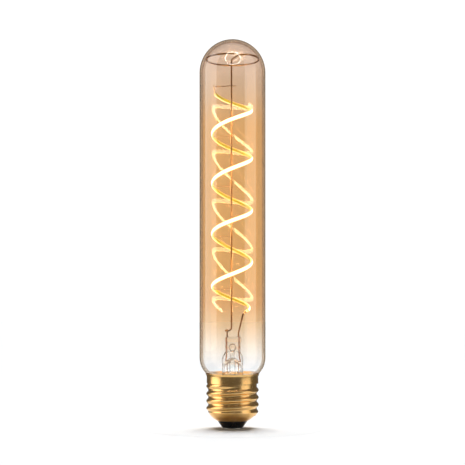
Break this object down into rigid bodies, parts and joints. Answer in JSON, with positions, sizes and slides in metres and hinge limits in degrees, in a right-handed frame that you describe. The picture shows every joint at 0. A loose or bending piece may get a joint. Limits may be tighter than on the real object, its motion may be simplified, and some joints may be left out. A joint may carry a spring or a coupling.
{
  "type": "tubular light bulb",
  "caption": "Amber glass tube bulb with a screw cap and a spiral strip filament wound round a centre rod.",
  "frame": {"origin": "middle of the underside of the centre contact, cap down", "axes": "+Z along the bulb's axis towards the round end; -Y is the side that the picture shows, +X its right"},
  "size_m": [0.0328, 0.0328, 0.1933],
  "materials": {
    "amber_glass": "clear amber coated glass, clear at the foot",
    "clear_glass": "clear glass",
    "brass": "polished rolled brass",
    "black_glass": "black moulded insulator",
    "contact_metal": "tinned contact",
    "cement": "capping cement",
    "support_wire": "oxidised nickel wire",
    "copper": "copper wire",
    "strip_board": "yellow strip backing",
    "strip_coat": "glowing silicone coat",
    "tab_metal": "plated tab",
    "circuit_board": "board with lacquer",
    "chip": "moulded package",
    "capacitor_sleeve": "aluminium can",
    "resistor_body": "lacquered body"
  },
  "bodies": {
    "root": {"glass_envelope": "amber_glass", "screw_shell": "brass", "base_insulator": "black_glass", "centre_contact": "contact_metal", "capping_cement": "cement", "stem_flare": "clear_glass", "exhaust_tube": "clear_glass", "inner_lead_left": "support_wire", "inner_lead_right": "support_wire", "seal_wire_left": "copper", "seal_wire_right": "copper", "outer_lead_left": "copper", "outer_lead_right": "copper", "centre_rod": "support_wire", "top_feed_wire": "support_wire", "filament_board": "strip_board", "filament_phosphor": "strip_coat", "filament_tab_top": "tab_metal", "filament_tab_bottom": "tab_metal", "filament_support_1": "support_wire", "filament_support_2": "support_wire", "filament_support_3": "support_wire", "filament_support_4": "support_wire", "driver_board": "circuit_board", "bridge_rectifier": "chip", "driver_chip": "chip", "smoothing_capacitor": "capacitor_sleeve", "fuse_resistor": "resistor_body", "contact_wire": "copper", "shell_wire": "copper"}
  },
  "joints": []
}
